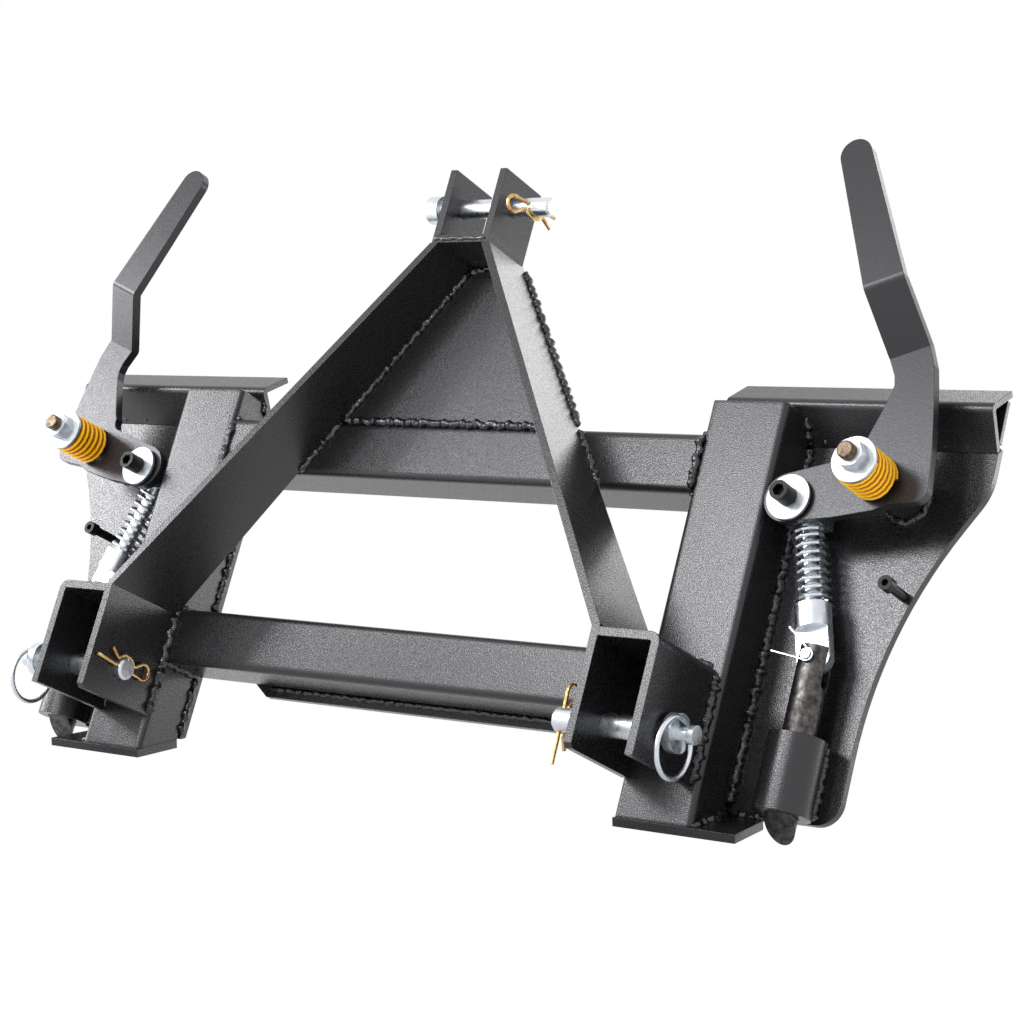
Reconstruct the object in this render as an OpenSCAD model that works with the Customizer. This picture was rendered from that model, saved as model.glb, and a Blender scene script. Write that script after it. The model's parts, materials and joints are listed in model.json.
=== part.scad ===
// Adapter frame that lets a tractor's three hitch arms carry skid steer attachments.
// Two uprights, two cross tubes and a bent mast carry the hitch pins. Two side plates with
// a hooked rail on top carry the attachment, and two hand levers drive the locking wedges.
// Millimetres. X runs right, Y runs back towards the attachment, Z runs up.
// The origin is under the middle of the part. The pieces below are drawn from the
// front face and the foot of the uprights, and placed() moves them onto that origin.

/* [Uprights] */
// width of each upright tube
upright_width = 80; // [60:1:110]
// front to back size of each upright tube
upright_depth = 55; // [40:1:80]
// height of the front face of each upright
upright_height = 394.5; // [330:0.5:460]
// wall of the upright tubes
upright_wall = 5; // [3:0.5:8]
// distance from the middle to the inner face of each upright
upright_inset = 290; // [250:1:330]
// outside corner radius of the upright tubes
upright_corner = 6; // [3:0.5:10]

/* [Cross tubes] */
// height of each cross tube
cross_height = 58; // [40:1:80]
// front to back size of each cross tube
cross_depth = 62; // [40:1:70]
// wall of the cross tubes
cross_wall = 5; // [3:0.5:8]
// outside corner radius of the cross tubes
cross_corner = 7; // [3:0.5:12]
// underside of the upper cross tube above the foot of the uprights
upper_cross_base = 304.5; // [240:0.5:340]
// underside of the lower cross tube above the foot of the uprights
lower_cross_base = 94.5; // [60:0.5:140]
// setback of the cross tube fronts behind the upright fronts
cross_setback = 0.3; // [0:0.1:8]

// length of the strip behind the lower cross tube
bottom_strip_length = 434; // [300:2:560]
// height of the strip behind the lower cross tube
bottom_strip_height = 48.5; // [30:0.5:60]
// drop of the strip below the lower cross tube
bottom_strip_drop = 10.5; // [0:0.5:20]

/* [Hooked rails] */
// inner end of each rail from the middle
rail_inner = 287; // [250:1:320]
// outer end of each rail from the middle
rail_outer = 555.5; // [500:0.5:600]
// length of the upper leg of the rail angle
rail_upper_leg = 41; // [30:0.5:60]
// length of the lower leg of the rail angle
rail_lower_leg = 44; // [30:0.5:60]
// wall of the rail angle
rail_wall = 6; // [4:0.5:10]
// outside radius of the rail nose
rail_nose_radius = 7; // [4:0.5:10]
// rise of the upper leg from level
rail_tilt = 40; // [25:1:60]
// distance of the sharp rail nose behind the upright fronts
rail_nose_back = 26; // [10:0.5:40]
// height of the sharp rail nose above the foot of the uprights
rail_nose_height = 406; // [380:0.5:430]
// thickness of the strip that closes the rail
rail_strip_wall = 5; // [3:0.5:8]
// height of the strip that closes the rail
rail_strip_height = 40; // [38:0.5:44]
// distance of the strip's inner end from the inner end of the rail
rail_strip_inset = 45; // [10:1:60]

/* [Side plates] */
// thickness of the side plates
side_plate_wall = 8; // [5:0.5:12]
// top edge of the side plates above the foot of the uprights
side_plate_top = 378; // [360:0.5:390]
// bottom edge of the side plates above the foot of the uprights
side_plate_base = 27.5; // [20:0.5:50]
// outer edge at the top from the middle
side_plate_outer = 556; // [500:1:600]
// outer edge near the bottom corner from the middle
side_plate_lower_outer = 478; // [470:1:490]
// radius of the bottom outer corner
side_plate_base_radius = 22; // [10:1:30]
// radius of the shoulder under the rail end
side_plate_shoulder_radius = 60; // [30:1:80]
// height above the foot of the uprights where the hollow sweep turns upright
side_plate_sweep_base = 90; // [70:1:120]

/* [Feet] */
// thickness of the foot plates
foot_wall = 8; // [5:0.5:12]
// rise of the foot plates towards the back
foot_tilt = 26; // [15:1:35]
// inner edge of each foot plate from the middle
foot_inner = 290; // [260:1:300]
// outer edge of each foot plate from the middle
foot_outer = 415; // [390:1:440]
// length of each foot plate along its slope
foot_length = 69; // [60:1:80]
// cut corner at the back of each foot plate
foot_cut = 12; // [5:1:25]

/* [Mast and brackets] */
// thickness of the bent mast bars, brackets and top ears
bar_wall = 8; // [6:0.5:12]
// depth of the mast bars at the brackets
bar_base_depth = 99; // [80:1:120]
// depth of the mast bars at the top
bar_top_depth = 62; // [50:1:90]
// height of the bend above the foot of the uprights
bracket_top = 144; // [120:1:180]
// bottom edge of the brackets above the foot of the uprights
bracket_base = 36; // [20:1:60]
// clear width between the walls of each lower bracket
bracket_gap = 55.3; // [45:0.1:70]
// bend radius at the outer corner of each bracket
bracket_corner = 10; // [8.5:0.5:16]
// clear width between the top ears
ear_gap = 53; // [45:0.5:60]
// height of the mast cap above the foot of the uprights
mast_top = 530; // [480:1:580]
// height of the top ears above the mast cap
ear_height = 79; // [60:1:100]
// thickness of the mast gusset
gusset_wall = 8; // [5:0.5:12]

/* [Hitch pins] */
// diameter of the top hitch pin
top_pin_diameter = 19; // [16:0.5:25.5]
// diameter of the lower hitch pins
lower_pin_diameter = 22; // [19:0.5:28.5]
// running clearance of each hitch pin in its holes, on the radius
hitch_pin_clearance = 0.3; // [0.1:0.05:0.6]
// distance of the top pin in front of the uprights
top_pin_front = 36; // [25:0.5:45]
// height of the top pin above the underside of the mast cap
top_pin_rise = 48; // [40:0.5:55]
// diameter of the top pin's head
top_head_diameter = 28; // [26:0.5:34]
// length of the top pin's head
top_head_wall = 14; // [8:0.5:18]
// room between the top pin's head and the left ear
top_head_play = 17.5; // [1:0.5:20]
// length of the top pin beyond the right ear
top_pin_stand = 46.5; // [40:0.5:50]
// distance of the lower pins in front of the uprights
lower_pin_front = 54; // [45:0.5:65]
// height of the lower pins above the foot of the uprights
lower_pin_height = 69; // [60:0.5:80]
// wire diameter of the spring clips
clip_wire = 3.6; // [2.5:0.1:5]
// wire diameter of the pull rings
ring_wire = 4.5; // [3:0.1:6]
// outside diameter of the pull rings
ring_diameter = 57.5; // [50:0.5:64]
// angle by which the right pull ring hangs forward
right_ring_swing = 32; // [0:1:60]
// length of the lower pins from the inner wall of the brackets to their free ends
lower_pin_stand = 44; // [38:1:46]
// length by which the left lower pin is pulled out
left_pin_pull = 35; // [0:1:36]
// diameter of the collars on the lower pins
pin_collar_diameter = 35; // [32:1:40]
// room between the collars and the outer bracket walls with the pins pushed in
pin_collar_play = 3.5; // [0.5:0.5:5]
// thickness of the collars on the lower pins
pin_collar_wall = 9; // [6:0.5:12]
// diameter of the ring stubs on the lower pins
stub_diameter = 12; // [10:0.5:14]
// length of the ring stubs on the lower pins
stub_length = 10.5; // [10:0.5:18]
// diameter of the stub ends
stub_head_diameter = 17; // [15:0.5:24]
// thickness of the stub ends
stub_head_wall = 6; // [4:0.5:8]

/* [Latch levers] */
// thickness of the hand levers
lever_wall = 10; // [8:0.5:14]
// distance of the lever fronts in front of the upright fronts
lever_front = 4; // [2:0.5:10]
// lever pivot from the middle
pivot_out = 479.6; // [465:0.1:495]
// height of the lever pivot above the foot of the uprights
pivot_height = 324.5; // [315:0.5:335]
// reach of the crank pin inwards from the lever pivot
crank_reach = 81.6; // [76:0.1:84]
// drop of the crank pin below the lever pivot
crank_drop = 23.5; // [15:0.5:30]
// radius of the rounded crank end of each lever
crank_end_radius = 23; // [21.5:0.5:26]
// diameter of the pivot studs
stud_diameter = 16; // [12:0.5:20]
// running clearance of the levers on the studs, on the radius
pivot_clearance = 0.06; // [0.02:0.01:0.1]
// outside diameter of the pivot bosses
boss_diameter = 36; // [28:1:44]
// forward step of the grip ahead of the lever plate
grip_step = 39; // [20:1:50]
// bend angle of the step in each lever
grip_bend = 36; // [20:1:50]
// height of the first bend above the lever pivot
bend_rise = 117; // [105:1:130]
// width of each lever at the bends
grip_root_width = 39; // [30:1:50]
// height of the grip end's middle above the lever pivot
grip_rise = 292.5; // [250:0.5:330]
// reach of the grip end's middle inwards from the lever pivot
grip_reach = 71.1; // [40:0.1:90]
// radius of the grip end
grip_end_radius = 15.5; // [10:0.5:20]
// outside diameter of the friction springs
friction_spring_diameter = 43; // [34:0.5:46]
// wire diameter of the friction springs
friction_spring_wire = 5; // [4:0.5:6.5]
// length of the friction springs as set
friction_spring_length = 44; // [36:1:52]
// number of coils of the friction springs
friction_spring_coils = 6; // [4:1:8]

/* [Locking wedges] */
// guide tube and wedge from the middle
guide_out = 438; // [436:0.5:450]
// outside diameter of the guide tubes
guide_diameter = 52; // [46:0.5:56]
// diameter of the locking wedges
wedge_diameter = 30; // [26:0.5:34]
// running clearance of the wedges in their guides, on the radius
wedge_clearance = 0.8; // [0.3:0.1:1.5]
// bottom of the guide tubes above the foot of the uprights
guide_base = 27; // [20:0.5:44]
// length of the guide tubes
guide_length = 69; // [50:1:72]
// length of each wedge from its tip to its forked top
wedge_length = 172; // [164:1:180]
// height of the wedge tips above the foot of the uprights with the levers up
wedge_tip = 5; // [0:0.5:8]
// height of the slanted cut on the wedge tips
wedge_bevel = 31; // [15:1:34]
// cross pin of each wedge below its forked top
wedge_pin_drop = 11; // [8:0.5:12]
// diameter of the cross pins
cross_pin_diameter = 9; // [7:0.5:11]
// running clearance of the cross pins in the clevis tongues, on the radius
cross_pin_clearance = 0.1; // [0.05:0.05:0.3]
// thickness of the clevis tongues
tongue_wall = 11; // [9:0.5:14]
// side clearance of the tongues in the forks
tongue_clearance = 0.5; // [0.3:0.1:0.8]
// diameter of the clevises
clevis_diameter = 33; // [29:0.5:36]
// outside diameter of the latch springs
latch_spring_diameter = 30; // [26:0.5:33]
// wire diameter of the latch springs
latch_spring_wire = 4; // [3:0.5:5]
// number of coils of the latch springs
latch_spring_coils = 9; // [7:1:11]
// diameter of the link rods
rod_diameter = 15; // [12:0.5:18]
// room round the crank pins in the link heads, on the radius
link_head_clearance = 4.4; // [4.2:0.1:5]
// right stop screw from the outer edge of its side plate
stop_margin_right = 8.5; // [8:0.5:16]
// left stop screw from the outer edge of its side plate
stop_margin_left = 35.5; // [8:0.5:38]
// height of the stop screws above the foot of the uprights
stop_height = 236.5; // [230:0.5:242]
// length of the stop screws in front of the side plates
stop_length = 40; // [30:1:44]
// diameter of the stop screws
stop_diameter = 9; // [6:0.5:12]
// diameter of the stop screw heads
stop_head_diameter = 13.5; // [12.5:0.5:18]
// height of the stop screw heads
stop_head_wall = 10; // [6:0.5:12]

/* [Hidden] */

$fn = 48;
eps = 0.01;
paint = [0.14, 0.14, 0.15];
zinc = [0.80, 0.82, 0.85];
orange = [0.95, 0.60, 0.08];
oxide = [0.08, 0.08, 0.08];
steel = [0.40, 0.38, 0.36];
yellow_zinc = [0.82, 0.62, 0.34];

// the part stands on the lowest edge of its foot plates
foot_rise = foot_wall * cos(foot_tilt);
bottom_strip_back = cross_setback + cross_depth + side_plate_wall;
middle_back = (bottom_strip_back - bar_base_depth) / 2;
top_pin_height = mast_top + top_pin_rise;
crank_out = pivot_out - crank_reach;
crank_height = pivot_height - crank_drop;

// seats that more than one piece uses
plate_front = upright_depth;
plate_back = plate_front + side_plate_wall;
bracket_inner = upright_inset + bar_wall;
bracket_outer = bracket_inner + bracket_gap;
lever_back = lever_wall - lever_front;
ear_inner = ear_gap / 2;
ear_outer = ear_inner + bar_wall;
seat_gap = 0.2;

// link geometry, from the crank pin down to the cross pin
cross_height_z = wedge_tip + wedge_length - wedge_pin_drop;
guide_back = plate_front - guide_diameter / 2;
link_run = guide_out - crank_out;
link_drop = crank_height - cross_height_z;
link_length = sqrt(link_run * link_run + link_drop * link_drop);
link_tilt = atan2(link_run, link_drop);
link_head_width = 38;
link_head_height = 32;
link_head_drop = 14.5;
link_head_tilt = 5;
link_head_depth = 28;
link_head_front = guide_back - link_head_depth / 2;
// the top coil ends under the lower corner of the tilted head
spring_top_drop = link_head_drop + latch_spring_diameter / 2 * sin(link_tilt - link_head_tilt) + 0.3;
// the rounded end of the tongue is centred above the cross pin
tongue_rise = 3.5;
collar_low = 28;
collar_high = 50.6;
crank_pin_diameter = 12;
washer_diameter = 42;
washer_wall = 3;

module placed() {
    translate([0, -middle_back, foot_rise]) children();
}

module left_side() {
    mirror([1, 0, 0]) children();
}

// flat sheet drawn in X and Z, from depth "front" back to "front + wall"
module sheet(front, wall) {
    translate([0, front + wall, 0]) rotate([90, 0, 0]) linear_extrude(wall) children();
}

// round bar along Y from depth "front" to "back"
module bar_y(x, z, front, back, d) {
    translate([x, back, z]) rotate([90, 0, 0]) cylinder(h = back - front, d = d);
}

// round bar along X
module bar_x(x0, x1, y, z, d) {
    translate([x0, y, z]) rotate([0, 90, 0]) cylinder(h = x1 - x0, d = d);
}

module rounded_rect(w, h, r) {
    translate([r, 0]) square([w - 2 * r, h]);
    translate([0, r]) square([w, h - 2 * r]);
    for (x = [r, w - r], y = [r, h - r]) translate([x, y]) circle(r);
}

module tube_section(w, h, wall, r) {
    difference() {
        rounded_rect(w, h, r);
        translate([wall, wall]) rounded_rect(w - 2 * wall, h - 2 * wall, max(r - wall, 1));
    }
}

// points of an arc, from angle a0 to a1
function arc(c, r, a0, a1, n) = [for (i = [0:n])
    let (a = a0 + (a1 - a0) * i / n) [c[0] + r * cos(a), c[1] + r * sin(a)]];

// wire swept along a list of points, with "sides" flats round it
function unit(v) = v / norm(v);
function swept_ring(p, t, up, r, sides) =
    let (u = unit(cross(t, up)), w = cross(u, t))
    [for (k = [0:sides - 1]) let (a = 360 * k / sides) p + r * (cos(a) * u + sin(a) * w)];
module wire(path, r, sides, up) {
    n = len(path);
    points = [for (i = [0:n - 1])
        let (t = unit(path[min(i + 1, n - 1)] - path[max(i - 1, 0)]))
        each swept_ring(path[i], t, up, r, sides)];
    faces = concat(
        [[for (k = [sides - 1:-1:0]) k]],
        [for (i = [0:n - 2], k = [0:sides - 1])
            let (a = i * sides + k, b = i * sides + (k + 1) % sides)
            [b + sides, a + sides, a, b]],
        [[for (k = [0:sides - 1]) (n - 1) * sides + k]]);
    polyhedron(points, faces, convexity = 6);
}

// coil spring along Z with its end coils laid flat
module coil_spring(outer, wire_d, length, coils, sides, steps) {
    r = (outer - wire_d) / 2;
    travel = length - wire_d;
    n = coils * steps;
    path = [for (i = [0:n])
        let (f = i / n, dead = 0.7 / coils,
             g = min(max((f - dead) / (1 - 2 * dead), 0), 1),
             climb = wire_d * 1.02 * min(f, dead) * coils
                   + wire_d * 1.02 * max(f - 1 + dead, 0) * coils)
        [r * cos(360 * i / steps), r * sin(360 * i / steps),
         wire_d / 2 + climb + g * (travel - 2 * wire_d * 1.02 * 0.7)]];
    wire(path, wire_d / 2, sides, [0, 0, 1]);
}

// upright

module rail_profile() {
    // sharp nose at the origin, upper leg along +x, lower leg along -y before tilting
    r = rail_nose_radius;
    difference() {
        union() {
            translate([r, -rail_wall]) square([rail_upper_leg - r, rail_wall]);
            translate([0, -rail_lower_leg]) square([rail_wall, rail_lower_leg - r]);
            intersection() {
                translate([r, -r]) circle(r);
                translate([0, -r]) square([r, r]);
            }
            translate([rail_wall - eps, -rail_wall - 1.5]) square([1.5, 1.5]);
        }
        translate([rail_wall + 1.5, -rail_wall - 1.5]) circle(1.5);
    }
}

module rail_placed() {
    translate([rail_inner, rail_nose_back, rail_nose_height])
        rotate([rail_tilt, 0, 0]) rotate([90, 0, 90]) children();
}

module upright() {
    difference() {
        translate([upright_inset, 0, -40]) linear_extrude(upright_height + 40)
            tube_section(upright_width, upright_depth, upright_wall, upright_corner);
        // the foot is cut to the slope of the foot plate
        rotate([foot_tilt, 0, 0])
            translate([upright_inset - 10, -100, -100]) cube([upright_width + 20, 250, 100]);
        // the top is coped round the rail
        rail_placed() translate([0, 0, -20]) linear_extrude(upright_width + 60)
            translate([0, -90]) square([90, 90]);
    }
}

module upright_tube_left() placed() left_side() color(paint) upright();
module upright_tube_right() placed() color(paint) upright();

// cross tubes

module cross_tube(base) {
    translate([-upright_inset, cross_setback, base]) rotate([90, 0, 90])
        linear_extrude(2 * upright_inset)
            tube_section(cross_depth, cross_height, cross_wall, cross_corner);
}

module upper_cross_tube() placed() color(paint) cross_tube(upper_cross_base);
module lower_cross_tube() placed() color(paint) cross_tube(lower_cross_base);

// flat strip behind the lower cross tube
module bottom_strip() placed() color(paint)
    sheet(cross_setback + cross_depth, side_plate_wall)
        translate([0, lower_cross_base - bottom_strip_drop]) {
            half = bottom_strip_length / 2;
            polygon([[-half + 20, 0], [half - 20, 0], [half, 13.5], [half, bottom_strip_height],
                     [-half, bottom_strip_height], [-half, 13.5]]);
        }

// hooked rails

module rail() {
    rail_placed() linear_extrude(rail_outer - rail_inner) rail_profile();
}

module rail_strip() {
    // closes the open back of the angle, with its front edges on the two legs
    strip_middle = rail_nose_height - 4.5;
    translate([rail_inner + rail_strip_inset, plate_front - 1, strip_middle - rail_strip_height / 2])
        cube([rail_outer - rail_inner - rail_strip_inset, rail_strip_wall, rail_strip_height]);
}

module rail_strip_cut() {
    difference() {
        rail_strip();
        rail_placed() translate([0, 0, -1]) linear_extrude(rail_outer) {
            translate([0, -rail_wall]) square([rail_upper_leg + 30, 60]);
            translate([-60, -rail_lower_leg - 30]) square([60 + rail_wall, rail_lower_leg + 90]);
        }
    }
}

module hook_rail_left() placed() left_side() color(paint) rail();
module hook_rail_right() placed() color(paint) rail();
module rail_strip_left() placed() left_side() color(paint) rail_strip_cut();
module rail_strip_right() placed() color(paint) rail_strip_cut();

// side plates

// the outer edge runs down a shoulder arc, a short line and a hollow arc, and both
// arcs end upright, which sets the hollow arc's radius and the slope of the line
shoulder_drop = 25;
sweep_lead = 24;
plate_step = side_plate_outer - side_plate_lower_outer;
plate_fall = side_plate_top - shoulder_drop - side_plate_sweep_base;
both_radii = (plate_fall * plate_fall + plate_step * plate_step - sweep_lead * sweep_lead)
           / (2 * plate_step);
sweep_radius = both_radii - side_plate_shoulder_radius;
sweep_slope = acos((both_radii - plate_step) / norm([both_radii, sweep_lead]))
            - atan2(sweep_lead, both_radii);

// outer edge of the plate at a height on the hollow arc
function plate_edge(z) = side_plate_lower_outer + sweep_radius
    - sqrt(sweep_radius * sweep_radius - pow(z - side_plate_sweep_base, 2));

function side_plate_outline() =
    let (br = side_plate_base_radius, sr = side_plate_shoulder_radius)
    concat(
        [[upright_inset, side_plate_base]],
        arc([side_plate_lower_outer - br, side_plate_base + br], br, -90, 0, 10),
        arc([side_plate_lower_outer + sweep_radius, side_plate_sweep_base], sweep_radius,
            180, 180 - sweep_slope, 14),
        arc([side_plate_outer - sr, side_plate_top - shoulder_drop], sr, -sweep_slope, 0, 8),
        [[side_plate_outer, side_plate_top], [upright_inset, side_plate_top]]);

module side_plate() {
    difference() {
        sheet(plate_front, side_plate_wall) polygon(side_plate_outline());
        // cut to fit the end of the rail's lower leg and the top of the foot plate
        rail_placed() translate([0, 0, -50]) linear_extrude(rail_outer)
            translate([0, -rail_lower_leg]) square([rail_wall, rail_lower_leg]);
        rotate([foot_tilt, 0, 0]) translate([foot_inner - 20, 0, -60])
            cube([foot_outer - foot_inner + 20, 90, 60]);
    }
}

module side_plate_left() placed() left_side() color(paint) side_plate();
module side_plate_right() placed() color(paint) side_plate();

// foot plates

module foot_plate() {
    rotate([foot_tilt, 0, 0]) translate([0, 0, -foot_wall]) linear_extrude(foot_wall)
        polygon([[foot_inner, 0], [foot_outer, 0], [foot_outer - 6, foot_length - foot_cut],
                 [foot_outer - 6 - foot_cut, foot_length], [foot_inner + foot_cut, foot_length],
                 [foot_inner, foot_length - foot_cut]]);
}

module foot_plate_left() placed() left_side() color(paint) foot_plate();
module foot_plate_right() placed() color(paint) foot_plate();

// mast

// slope of the mast bars, measured on their inner faces
bar_run = upright_inset - ear_inner;
bar_rise = mast_top - bracket_top;
bar_lean = atan2(bar_run, bar_rise);

module mast_bar() {
    // the bar is bent from one strip: upright beside the bracket, then leaning in to the top
    intersection() {
        union() {
            translate([upright_inset, -bar_base_depth, bracket_base])
                cube([bar_wall, bar_base_depth, bracket_top - bracket_base]);
            translate([upright_inset, -bar_base_depth, bracket_top]) rotate([0, -bar_lean, 0])
                translate([0, 0, -20]) cube([bar_wall, bar_base_depth, bar_rise / cos(bar_lean) + 60]);
        }
        // both halves meet on the bend, and the top is cut level
        sheet(-bar_base_depth - 1, bar_base_depth + 2)
            polygon([[upright_inset, bracket_base], [bracket_inner, bracket_base],
                     [bracket_inner, bracket_top + bar_wall * tan(bar_lean / 2)],
                     [ear_inner + bar_wall / cos(bar_lean), mast_top],
                     [ear_inner, mast_top], [upright_inset, bracket_top]]);
        // the front edge tapers from the bend to the top
        translate([-10, 0, 0]) rotate([90, 0, 90]) linear_extrude(bracket_inner + 40)
            polygon([[0, bracket_base], [0, mast_top], [-bar_top_depth, mast_top],
                     [-bar_base_depth, bracket_top], [-bar_base_depth, bracket_base + 4],
                     [-bar_base_depth + 4, bracket_base]]);
    }
}

module mast_bar_left() placed() left_side() color(paint) bored() mast_bar();
module mast_bar_right() placed() color(paint) bored() mast_bar();

// lower pin holes
module bored() {
    difference() {
        children();
        bar_x(upright_inset - 20, bracket_outer + 40, -lower_pin_front, lower_pin_height,
              lower_pin_diameter + 2 * hitch_pin_clearance);
    }
}

module mast_gusset() placed() color(paint)
    sheet(cross_setback, gusset_wall) {
        low = upper_cross_base + cross_height;
        high = mast_top;
        // the gusset ends behind the bars, short of their outer faces
        edge = 0.6 * bar_wall / cos(bar_lean);
        at_low = ear_inner + edge + (mast_top - low) * tan(bar_lean);
        at_high = ear_inner + edge + (mast_top - high) * tan(bar_lean);
        polygon([[-at_low, low], [at_low, low], [at_high, high], [-at_high, high]]);
    }

module mast_cap() placed() color(paint)
    translate([-ear_outer, -bar_top_depth, mast_top])
        cube([2 * ear_outer, bar_top_depth, bar_wall]);

module top_ear() {
    difference() {
        translate([ear_inner, -bar_top_depth, mast_top + bar_wall])
            cube([bar_wall, bar_top_depth, ear_height - bar_wall]);
        bar_x(ear_inner - 5, ear_outer + 5, -top_pin_front, top_pin_height,
              top_pin_diameter + 2 * hitch_pin_clearance);
    }
}

module top_ear_left() placed() left_side() color(paint) top_ear();
module top_ear_right() placed() color(paint) top_ear();

// lower link brackets, bent from one strip: top wall and outer wall

module link_bracket() {
    r = bracket_corner;
    wide = bracket_gap + bar_wall;
    difference() {
        sheet(-bar_base_depth, bar_base_depth) translate([bracket_inner, 0]) difference() {
            union() {
                translate([0, bracket_top - bar_wall]) square([wide - r, bar_wall]);
                translate([wide - bar_wall, bracket_base])
                    square([bar_wall, bracket_top - r - bracket_base]);
                intersection() {
                    translate([wide - r, bracket_top - r]) circle(r);
                    translate([wide - r, bracket_top - r]) square([r, r]);
                }
            }
            translate([wide - r, bracket_top - r]) circle(r - bar_wall);
        }
        bar_x(upright_inset - 20, bracket_outer + 40, -lower_pin_front, lower_pin_height,
              lower_pin_diameter + 2 * hitch_pin_clearance);
    }
}

module link_bracket_left() placed() left_side() color(paint) link_bracket();
module link_bracket_right() placed() color(paint) link_bracket();

// guide tubes

module guide_tube() {
    translate([guide_out, guide_back, guide_base]) difference() {
        cylinder(h = guide_length, d = guide_diameter);
        translate([0, 0, -1])
            cylinder(h = guide_length + 2, d = wedge_diameter + 2 * wedge_clearance);
    }
}

module guide_tube_left() placed() left_side() color(paint) guide_tube();
module guide_tube_right() placed() color(paint) guide_tube();

// lever pivots

module pivot_boss() {
    difference() {
        bar_y(pivot_out, pivot_height, lever_back + seat_gap, plate_front, boss_diameter);
        bar_y(pivot_out, pivot_height, lever_back - 1, plate_front + 1, stud_diameter);
    }
}

// the stud is pressed through the boss as far as the side plate
spring_front = -lever_front - seat_gap - friction_spring_length;
washer_front = spring_front - washer_wall - 0.1;
nut_height = 13;
stud_end = washer_front - nut_height - 8;
// the washer and the spring hang off centre on the stud
washer_sag = [-1.1, -1.5];
washer_bore = stud_diameter + 4;
spring_sag = [-1.6, -2.2];

module pivot_stud() {
    bar_y(pivot_out, pivot_height, stud_end + 1.5, plate_front, stud_diameter);
    translate([pivot_out, stud_end + 1.5, pivot_height]) rotate([90, 0, 0])
        cylinder(h = 1.5, d1 = stud_diameter, d2 = stud_diameter - 3);
}

module pivot_washer() {
    difference() {
        bar_y(pivot_out + washer_sag[0], pivot_height + washer_sag[1], washer_front,
              washer_front + washer_wall, washer_diameter);
        bar_y(pivot_out + washer_sag[0], pivot_height + washer_sag[1], washer_front - 1,
              washer_front + washer_wall + 1, washer_bore);
    }
}

module pivot_nut() {
    translate([pivot_out, washer_front, pivot_height]) rotate([90, 0, 0]) difference() {
        intersection() {
            cylinder(h = nut_height, d = 24 / cos(30), $fn = 6);
            cylinder(h = nut_height, d1 = 26.6 + 1, d2 = 25.2);
        }
        translate([0, 0, -1]) cylinder(h = nut_height + 2, d = stud_diameter);
    }
}

module friction_spring() {
    translate([pivot_out + spring_sag[0], -lever_front - seat_gap, pivot_height + spring_sag[1]])
        rotate([90, 0, 0])
            coil_spring(friction_spring_diameter, friction_spring_wire, friction_spring_length,
                        friction_spring_coils, 8, 18);
}

module pivot_boss_left() placed() left_side() color(paint) pivot_boss();
module pivot_boss_right() placed() color(paint) pivot_boss();
module pivot_stud_left() placed() left_side() color(steel) pivot_stud();
module pivot_stud_right() placed() color(steel) pivot_stud();
module pivot_washers() placed() color(zinc) {
    pivot_washer();
    left_side() pivot_washer();
}
module pivot_nuts() placed() color(zinc) {
    pivot_nut();
    left_side() pivot_nut();
}
module friction_spring_left() placed() left_side() color(orange) friction_spring();
module friction_spring_right() placed() color(orange) friction_spring();

// stop screws in the side plates

module stop_screw(margin) {
    x = plate_edge(stop_height) - margin;
    head = plate_front - stop_length;
    difference() {
        union() {
            bar_y(x, stop_height, head, head + stop_head_wall, stop_head_diameter);
            bar_y(x, stop_height, head + stop_head_wall / 2, plate_front, stop_diameter);
        }
        translate([x, head + stop_head_wall * 0.6, stop_height]) rotate([90, 0, 0])
            cylinder(h = stop_head_wall, d = 0.5 * stop_head_diameter, $fn = 6);
    }
}

module stop_screws() placed() color(oxide) {
    stop_screw(stop_margin_right);
    left_side() stop_screw(stop_margin_left);
}

// hand levers

bend_lean = 20.3;
bend_middle = [pivot_out + 3.4, pivot_height + bend_rise];
step_length = (grip_step - lever_wall * (1 - cos(grip_bend))) / sin(grip_bend);
step_rise = lever_wall * sin(grip_bend) + step_length * cos(grip_bend);
bend_left = bend_middle - grip_root_width / 2 * [cos(bend_lean), sin(bend_lean)];
bend_right = bend_middle + grip_root_width / 2 * [cos(bend_lean), sin(bend_lean)];
upper_middle = bend_middle + step_rise * [-sin(bend_lean), cos(bend_lean)];
upper_left = upper_middle - grip_root_width / 2 * [cos(bend_lean), sin(bend_lean)];
upper_right = upper_middle + grip_root_width / 2 * [cos(bend_lean), sin(bend_lean)];
grip_end = [pivot_out - grip_reach, pivot_height + grip_rise];
crank_end_middle = [crank_out - 4, crank_height + 1.5];
lever_room = 2 * grip_rise;

// the body of the lever is drawn for a bend 117 above the pivot, and follows the one set
module lever_outline() {
    pivot = [pivot_out, pivot_height];
    k = bend_rise / 117;
    along = unit(grip_end - upper_middle);
    side = [along[1], -along[0]];
    // the corners of the outline stay clear of the bend lines
    off_bend = 1.5 * [-sin(bend_lean), cos(bend_lean)];
    translate(crank_end_middle) circle(crank_end_radius);
    polygon(concat(
        [crank_end_middle + crank_end_radius * [cos(-98), sin(-98)],
         pivot + k * [-39, -38.5], pivot + k * [0, -30], pivot + k * [12, -24]],
        arc(pivot + k * [35.5, -8], k * 13, -84, -6, 6),
        [pivot + k * [44.5, 27], pivot + k * [38.5, 61], pivot + k * [33.5, 88],
         pivot + k * [29.5, 105.5]],
        [bend_right + off_bend, upper_right - off_bend],
        [grip_end + grip_end_radius * side, grip_end - grip_end_radius * side],
        [upper_left - off_bend, bend_left + off_bend],
        [pivot + k * [-6.7, 95], pivot + k * [-4.6, 86], pivot + k * [-6.2, 77]],
        [pivot + k * [-13.6, 54], pivot + k * [-20, 35.5]],
        arc(pivot + k * [-32.5, 28], k * 10, 18, -72, 5),
        [crank_end_middle + crank_end_radius * [cos(107), sin(107)]]));
    translate(grip_end) circle(grip_end_radius);
}

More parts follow.
